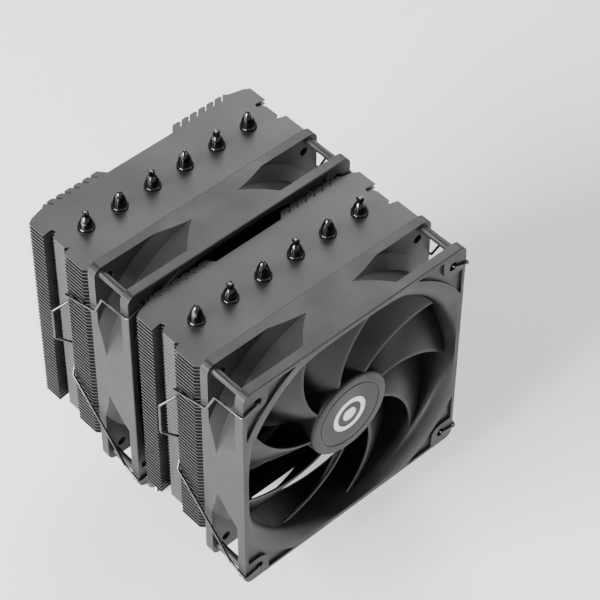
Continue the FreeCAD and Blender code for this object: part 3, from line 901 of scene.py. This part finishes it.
@dataclass
class MountScrew:
    """A sprung captive screw with its spring."""

    side: Side
    x: float = 41.0
    top: float = 29.0
    head: float = 4.2
    spring_low: float = 16.3
    spring_high: float = 25.1
    coil: float = 3.3
    wire: float = 0.45
    turns: float = 6.5
    threads: int = 12
    thread_pitch: float = 0.5

    def build(self, paint: Paintbox) -> None:
        """Turn the screw, cut its cross recess and wind its spring.

        Args:
            paint: The finishes.
        """
        name = self.side.name.lower()
        across = self.side.value * self.x
        shape = [(0, 2), (1.1, 2), (1.5, 2.5)]
        for thread in range(self.threads):
            z = 2.6 + thread * self.thread_pitch
            shape += [(1.5, z), (1.3, z + self.thread_pitch / 2)]
        shape += [(1.5, 8.8), (1.5, 9), (2, 9.4), (2, 12.35), (1.6, 12.4), (1.6, 13.1), (2, 13.15),
                  (2, 25.6), (3, 25.65), (4.1, 25.9), (self.head, 26.1), (self.head, 28.4),
                  (self.head - 0.15, 28.8), (self.head - 0.5, self.top), (0, self.top)]
        screw = turned(name + "_screw", shape, steps=40)
        slots = [plate("slot", [[(-w, -h), (w, -h), (w, h), (-w, h)]], self.top - 1.8, self.top + 1)
                 for w, h in ((2.3, 0.5), (0.5, 2.3))]
        screw = moved(carved(screw, slots), x=across)
        paint.place(object_of(screw), name + "_screw", "screw_steel", name + "_mount_screw")
        self.wind(name, across, paint)

    def wind(self, name: str, across: float, paint: Paintbox) -> None:
        """Wind a spring with closed ends, on a mesh of its own.

        Args:
            name: The screw's side.
            across: Where the screw stands, in millimetres.
            paint: The finishes.
        """
        turns, steps = self.turns, 28
        path = []
        for step in range(int(turns * steps) + 1):
            share = step / (turns * steps)
            rise = min(1, max(0, (share * turns - 0.8) / (turns - 1.6)))
            angle = FULL_TURN * share * turns
            z = self.spring_low + (self.spring_high - self.spring_low) * rise
            z += 0.5 * self.wire * (share * 2 - 1)
            path.append(Vector((across + self.coil * math.cos(angle), self.coil * math.sin(angle), z)))
        spring = paint.place(object_of(rod(name + "_coil", path, self.wire, 3)), "heatsink",
                             "spring_steel", name + "_spring")
        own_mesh(spring)


# ------------------------------------------------------------------ fans

@dataclass
class FanHousing:
    """The square fan housing: bell mouth, duct, two flanges, struts and motor cup."""

    spot: FanSpot
    half: float = 60.0
    corner: float = 4.0
    deep: float = 25.0
    flange: float = 4.5
    duct: float = 57.5
    mouth: float = 65.0
    mouth_depth: float = 5.0
    wall: float = 61.2
    waist_at: float = 16.5
    front_flare: float = 3.8
    rear_flare: float = 5.3
    hole_at: float = 52.5
    hole: float = 2.15
    cup: float = 21.0
    centre_z: float = 91.0
    sunk: float = 1.2
    boss: float = 5.3
    post_at: float = 56.0
    strut_root: float = 20.2

    def angles(self) -> list[float]:
        """List directions round the housing, closer together at the corners.

        Returns:
            The directions in radians, once round.
        """
        quarter = [38 * step / 19 for step in range(19)]
        quarter += [38 + 14 * step / 16 for step in range(16)]
        quarter += [52 + 38 * step / 19 for step in range(19)]
        return [math.radians(90 * turn + angle) for turn in range(4) for angle in quarter]

    def square(self, angle: float, half: float, corner: float) -> float:
        """Measure from the axis to a square with rounded corners.

        Args:
            angle: Direction from the axis.
            half: Half of the square's side.
            corner: Radius of its corners.

        Returns:
            The distance in that direction.
        """
        across, up = abs(math.cos(angle)), abs(math.sin(angle))
        reach = half / max(across, up)
        if min(across, up) * reach <= half - corner:
            return reach
        middle = (half - corner) * (across + up)
        return middle + math.sqrt(max(0, middle ** 2 - 2 * (half - corner) ** 2 + corner ** 2))

    def rings(self) -> list[tuple[Callable[[float], float], float]]:
        """Follow the housing's section right round: mouth, duct, rear flange and outside.

        Returns:
            For each step, the radius in any direction and the depth.
        """
        def outer(inset: float) -> Callable[[float], float]:
            """The rounded square, drawn in by an inset."""
            return lambda angle: self.square(angle, self.half - inset, self.corner - inset)

        def bell(turn: float) -> Callable[[float], float]:
            """Follow the mouth's flare, cut off by the square's sides.

            Args:
                turn: How far the flare has turned from the front face.

            Returns:
                The radius in any direction.
            """
            share = 1 - math.sin(turn)
            return lambda angle: self.duct + share * (min(
                self.mouth, self.duct / max(abs(math.cos(angle)), abs(math.sin(angle)))) - self.duct)

        section = [(outer(0.45), 0.0)]
        section += [(bell(turn * math.pi / 20), self.mouth_depth * (1 - math.cos(turn * math.pi / 20)))
                    for turn in range(11)]
        section += [(lambda angle: self.duct, depth) for depth in (9.0, 14.0, 19.0, 23.5)]
        section += [(lambda angle: self.duct + 0.5, self.deep - 0.4),
                    (lambda angle: self.duct + 1.0, self.deep)]
        section += [(outer(0.45), self.deep), (outer(0.12), self.deep - 0.13), (outer(0), self.deep - 0.45),
                    (outer(0), 0.45), (outer(0.12), 0.13)]
        return section

    def shell(self) -> Mesh:
        """Skin the housing's rings.

        Returns:
            The closed skin, its front face at nought.
        """
        angles, section = self.angles(), self.rings()
        points = [(radius(angle) * math.cos(angle), depth, radius(angle) * math.sin(angle))
                  for radius, depth in section for angle in angles]
        count, faces = len(angles), []
        for row in range(len(section)):
            below = (row + 1) % len(section)
            for column in range(count):
                after = (column + 1) % count
                faces.append((row * count + column, row * count + after,
                              below * count + after, below * count + column))
        return finish_mesh(mesh_of("shell", points, faces), 14)

    def hollows(self) -> list[Mesh]:
        """Make the cutters: the waist between the flanges, the screw holes and the sunk pads.

        Returns:
            The closed meshes to take away.
        """
        rear = self.deep - self.flange
        tools = [turned("waist", [
            (self.wall + self.front_flare, self.flange), (self.wall, self.waist_at),
            (self.wall + self.rear_flare, rear), (90, rear), (90, self.flange)],
            Spin.ALONG_AIR, 216, closed=True)]
        for x, z in CORNERS:
            drill = turned("drill", [(0, -1), (self.hole, -1), (self.hole, 26), (0, 26)],
                           Spin.ALONG_AIR, 32)
            tools.append(moved(drill, x * self.hole_at, 0, z * self.hole_at))
            shape = [(across * x, up * z) for across, up in self.sunk_corner()]
            tool = plate("sunk", [shape], -self.sunk, 1.0)
            tool.transform(Matrix.Rotation(math.pi / 2, 4, "X"))
            tools.append(finish_mesh(tool, 14))
        return tools

    def sunk_corner(self) -> list[Point2]:
        """Draw the sunk pad between the mouth and the screw boss.

        Returns:
            The outline in the upper right corner.
        """
        inner, edge, boss = self.mouth + 1.5, self.half - 1.8, self.boss
        start = math.acos(edge / inner)
        arc = [start + (math.pi / 2 - 2 * start) * step / 16 for step in range(17)]
        shape = [(inner * math.cos(angle), inner * math.sin(angle)) for angle in arc]
        shape.append((self.hole_at - boss, edge))
        for step in range(9):
            angle = math.pi + math.pi / 2 * step / 8
            shape.append((self.hole_at + boss * math.cos(angle), self.hole_at + boss * math.sin(angle)))
        return [*shape, (edge, self.hole_at - boss)]

    def strut(self) -> Mesh:
        """Skin one swept rear strut from the motor cup to the duct.

        Returns:
            A closed mesh.
        """
        points, faces, rows = [], [], 14
        for row in range(rows + 1):
            share = row / rows
            radius = self.strut_root + (self.duct + 1.2 - self.strut_root) * share
            angle = math.radians(20 + 12 * share)
            wide = 2.0 + 0.9 * abs(share - 0.5)
            out = Vector((math.cos(angle), 0, math.sin(angle)))
            across = Vector((-out.z, 0, out.x))
            for side, depth in ((-wide * 0.7, 21.5), (wide * 0.7, 21.5), (wide, 22.3), (wide, 24.7),
                                (wide - 0.4, 25.0), (-wide + 0.4, 25.0), (-wide, 24.7), (-wide, 22.3)):
                points.append(tuple(out * radius + across * side + Vector((0, depth, 0))))
        for row in range(rows):
            for side in range(8):
                after = (side + 1) % 8
                faces.append((row * 8 + side, row * 8 + after, row * 8 + 8 + after, row * 8 + 8 + side))
        faces += [tuple(range(8)), tuple(range(rows * 8, rows * 8 + 8))]
        return finish_mesh(mesh_of("strut", points, faces))

    def motor_cup(self) -> Mesh:
        """Turn the cup that carries the motor, with its bearing tube.

        Returns:
            A closed ring.
        """
        return turned("cup", [
            (self.cup - 1.3, 20.8), (self.cup - 0.3, 20.8), (self.cup, 21.1), (self.cup, 24.6),
            (self.cup - 0.4, 25.0), (16.4, 25.0), (16.2, 24.75), (4.2, 24.75), (3.5, 24.7),
            (3.5, 9.0), (5.0, 9.0), (5.0, 23.0), (self.cup - 1.3, 23.0)], Spin.ALONG_AIR, 96, closed=True)

    def build(self, paint: Paintbox, repeat: Repeat) -> None:
        """Make the whole housing as one piece.

        Args:
            paint: The finishes.
            repeat: The tree that copies pieces.
        """
        prefix, face = self.spot.value[0], self.spot.value[1]
        shell = carved(self.shell(), self.hollows())
        struts = repeat.apply("struts", self.strut(), 4, paint["frame_plastic"], turn=(0, -math.pi / 2, 0))
        posts = []
        for x, z in CORNERS:
            post = turned("post", [(0, 4.0), (2.0, 4.0), (1.85, 5.2), (1.75, 12.5), (1.85, 19.8),
                                   (2.0, 21.0), (0, 21.0)], Spin.ALONG_AIR, 20)
            posts.append(moved(post, self.post_at * x, 0, self.post_at * z))
        whole = joined(prefix + "_housing", [shell, struts, self.motor_cup(), *posts])
        paint.place(object_of(moved(whole, y=face, z=self.centre_z)), prefix, "frame_plastic",
                    prefix + "_frame")


@dataclass
class FanRotor:
    """The impeller: a domed hub with nine swept blades."""

    spot: FanSpot
    blades: int = 9
    hub: float = 20.75
    tip: float = 56.4
    face: float = 3.0
    length: float = 16.5
    wall: float = 1.8
    thick: float = 1.5
    root: float = 19.9
    chord: float = 39.0
    chord_taper: float = 5.0
    lead: float = 23.0
    sweep: float = 33.0
    front_edge: float = 4.0
    rear_edge: float = 18.6
    edge_taper: float = 1.6
    hollow: float = 1.5
    centre_z: float = 91.0

    def hub_shell(self, name: str) -> Mesh:
        """Turn the hub with a softened rim, a fine ring groove and a seat for the badge.

        Args:
            name: The mesh's name.

        Returns:
            A closed mesh.
        """
        end = self.face + self.length
        inner = self.hub - self.wall
        return turned(name, [
            (0, self.face + 0.3), (8.9, self.face + 0.3), (9.0, self.face + 0.02), (9.2, self.face),
            (15.6, self.face), (15.75, self.face + 0.3), (16.25, self.face + 0.3), (16.4, self.face),
            (self.hub - 1.3, self.face), (self.hub - 0.75, self.face + 0.12),
            (self.hub - 0.3, self.face + 0.4), (self.hub - 0.06, self.face + 0.9),
            (self.hub, self.face + 1.5), (self.hub, end - 0.3), (self.hub - 0.3, end), (inner, end),
            (inner, self.face + self.wall), (4, self.face + self.wall), (4, 8), (1.5, 8),
            (1.5, self.face + 1), (0, self.face + 1)], Spin.ALONG_AIR, 128)

    def station(self, radius: float, share_along: float) -> tuple[float, float, float, float]:
        """Where the blade's middle surface is.

        Args:
            radius: Distance from the axis.
            share_along: Nought at the front edge, one at the back edge.

        Returns:
            Angle, depth, thickness and slope there.
        """
        share = (radius - self.hub) / (self.tip - self.hub)
        for _ in range(4):
            chord = math.radians(self.chord - self.chord_taper * share)
            flat = radius * math.cos(chord * (share_along - 0.5))
            share = (flat - self.hub) / (self.tip - self.hub)
        chord = math.radians(self.chord - self.chord_taper * share)
        front = self.front_edge + self.edge_taper * share
        rear = self.rear_edge - self.edge_taper * share
        angle = math.radians(self.lead - self.sweep * share) + chord * share_along
        depth = front + (rear - front) * share_along - self.hollow * math.sin(math.pi * share_along)
        thick = self.thick * (0.55 + 0.45 * math.sin(math.pi * min(1, share_along + 0.25)))
        return angle, depth, thick, math.atan2(rear - front, chord * flat)

    def blade(self) -> Mesh:
        """Skin one blade with rounded edges.

        Returns:
            A closed mesh.
        """
        rows, columns = 26, 22
        radii = [self.root + (self.tip - self.root) * row / rows for row in range(rows + 1)]
        loop = [(column / columns, -0.5) for column in range(columns + 1)]
        loop += [(column / columns, 0.5) for column in range(columns, -1, -1)]
        points: list[Point3] = []
        for radius in radii:
            for along, way in loop:
                angle, depth, thick, slope = self.station(radius, along)
                ease = min(1.0, 0.35 + min(along, 1 - along) * 16)
                angle -= way * thick * ease * math.sin(slope) / radius
                depth += way * thick * ease * math.cos(slope)
                points.append((radius * math.cos(angle), depth, radius * math.sin(angle)))
        count, faces = len(loop), []
        for row in range(rows):
            for column in range(count):
                after = (column + 1) % count
                faces.append((row * count + column, row * count + after,
                              (row + 1) * count + after, (row + 1) * count + column))
        for base in (0, rows * count):
            for column in range(columns):
                faces.append((base + column, base + column + 1,
                              base + count - 2 - column, base + count - 1 - column))
        return finish_mesh(mesh_of("blade", points, faces), 55)

    def build(self, paint: Paintbox, repeat: Repeat) -> None:
        """Make the hub, the blades and the badge of this rotor.

        Args:
            paint: The finishes.
            repeat: The tree that copies pieces.
        """
        prefix, face, body = self.spot.value[:3]
        blades = repeat.apply(prefix + "_blades", self.blade(), self.blades, paint["blade_plastic"],
                              turn=(0, -FULL_TURN / self.blades, 0))
        blades = moved(blades, y=face, z=self.centre_z)
        paint.place(object_of(blades), body, "blade_plastic", prefix + "_impeller")
        hub = moved(self.hub_shell(prefix + "_hub"), y=face, z=self.centre_z)
        paint.place(object_of(hub), body, "blade_plastic", prefix + "_impeller")
        low = self.face + 0.02
        high = low + 0.28
        rings = [turned("ring", [(6.4, high), (6.4, low + 0.04), (6.5, low), (8.7, low),
                                 (8.8, low + 0.04), (8.8, high)], Spin.ALONG_AIR, 96, closed=True),
                 turned("dot", [(0, low), (3.3, low), (3.4, low + 0.05), (3.4, high), (0, high)],
                        Spin.ALONG_AIR, 64)]
        badge = moved(joined(prefix + "_badge", rings), y=face, z=self.centre_z)
        paint.place(object_of(badge), body, "badge_print", prefix + "_hub_badge")


@dataclass
class WireClip:
    """A spring-wire clip from the fan's corner holes to the groove in the tower's side."""

    spot: FanSpot
    side: Side
    wire: float = 0.6
    hole: float = 52.5
    centre_z: float = 91.0
    bend: float = 1.3

    def build(self, paint: Paintbox) -> None:
        """Bend the wire along its path.

        Args:
            paint: The finishes.
        """
        prefix, face = self.spot.value[0], self.spot.value[1]
        groove = self.spot.value[3].value[1] + 15.95
        out, inside = 60.5 + self.wire, 58.35
        front = face - 0.3 - self.wire
        hole = self.hole
        path = [
            (hole, face + 3.2, hole), (hole, front, hole), (out, front, hole - 3),
            (out, face + 15, hole - 3), (out, face + 20, hole - 15), (out, groove - 1, hole - 21),
            (inside, groove, hole - 24), (inside, groove, 24), (out + 3.6, groove + 4, 20),
            (out + 3.6, groove + 4, 3), (inside, groove, -1), (inside, groove, -16),
            (out, groove - 1, -19), (out, groove - 9, -25), (out, face + 15, -42), (out, face + 8, -hole + 2),
            (out, front, -hole - 1.5), (hole, front, -hole), (hole, face + 3.2, -hole)]
        points = [Vector((self.side.value * x, y, z + self.centre_z)) for x, y, z in path]
        name = "%s_clip_%s" % (prefix, self.side.name.lower())
        mesh = rod(name + "_wire", rounded_path(points, self.bend, 6), self.wire, 4)
        paint.place(object_of(mesh), name, "clip_wire", name)


# ------------------------------------------------------------------ scene

@dataclass(frozen=True)
class Lamp:
    """A square soft light: where it stands, its side in metres and its watts."""

    name: str
    place: Point3
    size: float
    power: float


@dataclass
class Studio:
    """Pale floor, soft lights and the camera."""

    lamps: tuple[Lamp, ...] = (
        Lamp("overhead", (1.0, 0.85, 1.25), 1.1, 27),
        Lamp("left", (-1.6, 0.1, 0.75), 1.0, 135),
        Lamp("front", (0.9, -1.4, 0.7), 0.7, 6))
    aim: Point3 = (0, 0, 0.1)
    floor_size: float = 12.0
    camera_at: Point3 = (-0.4375, -0.5178, 0.8457)
    camera_turn: Point3 = (42.126, -0.399, -42.464)
    lens: float = 144.0

    def build(self) -> None:
        """Set up the floor, world, lights and camera."""
        self.floor()
        self.world()
        for lamp in self.lamps:
            self.light(lamp)
        data = bpy.data.cameras.new("camera")
        data.lens = self.lens
        data.clip_end = 50
        camera = bpy.data.objects.new("camera", data)
        camera.location = self.camera_at
        camera.rotation_euler = Euler([math.radians(part) for part in self.camera_turn])
        bpy.context.scene.collection.objects.link(camera)
        bpy.context.scene.camera = camera

    def floor(self) -> None:
        """A wide pale floor under the cold plate."""
        half = self.floor_size / 2 / MM
        mesh = mesh_of("floor", [(-half, -half, -0.02), (half, -half, -0.02), (half, half, -0.02),
                                 (-half, half, -0.02)], [(0, 1, 2, 3)])
        floor = object_of(mesh)
        floor.data.materials.append(Finish("floor_paint", (0.93, 0.93, 0.93), roughness=0.7,
                                           shade_spread=0.01, edge_wear_and_highlight_share=0.0, grain_size=40,
                                           patch_size=3).build())

    def world(self) -> None:
        """An even pale surround."""
        world = bpy.data.worlds.new("surround")
        world.use_nodes = True
        back = world.node_tree.nodes["Background"]
        back.inputs["Color"].default_value = (0.95, 0.97, 1.0, 1)
        back.inputs["Strength"].default_value = 0.55
        bpy.context.scene.world = world

    def light(self, lamp: Lamp) -> None:
        """Add a lamp that looks at the cooler's middle.

        Args:
            lamp: The lamp.
        """
        data = bpy.data.lights.new(lamp.name, "AREA")
        data.size = lamp.size
        data.energy = lamp.power
        thing = bpy.data.objects.new(lamp.name, data)
        thing.location = lamp.place
        towards = Vector(self.aim) - Vector(lamp.place)
        thing.rotation_euler = towards.to_track_quat("-Z", "Y").to_euler()
        bpy.context.scene.collection.objects.link(thing)


def main() -> None:
    """Build every piece in order."""
    logging.basicConfig(level=logging.INFO, format="%(name)s %(message)s")
    Studio().build()
    paint = Paintbox()
    repeat = Repeat("copies")
    paint.dress_nodes()
    for tower in Tower:
        FinTower(tower).build(paint, repeat)
    PipeSet().build(paint)
    for side in Side:
        MountScrew(side).build(paint)
    for spot in FanSpot:
        FanHousing(spot).build(paint, repeat)
        FanRotor(spot).build(paint, repeat)
        for side in Side:
            WireClip(spot, side).build(paint)


if __name__ == "__main__":
    main()
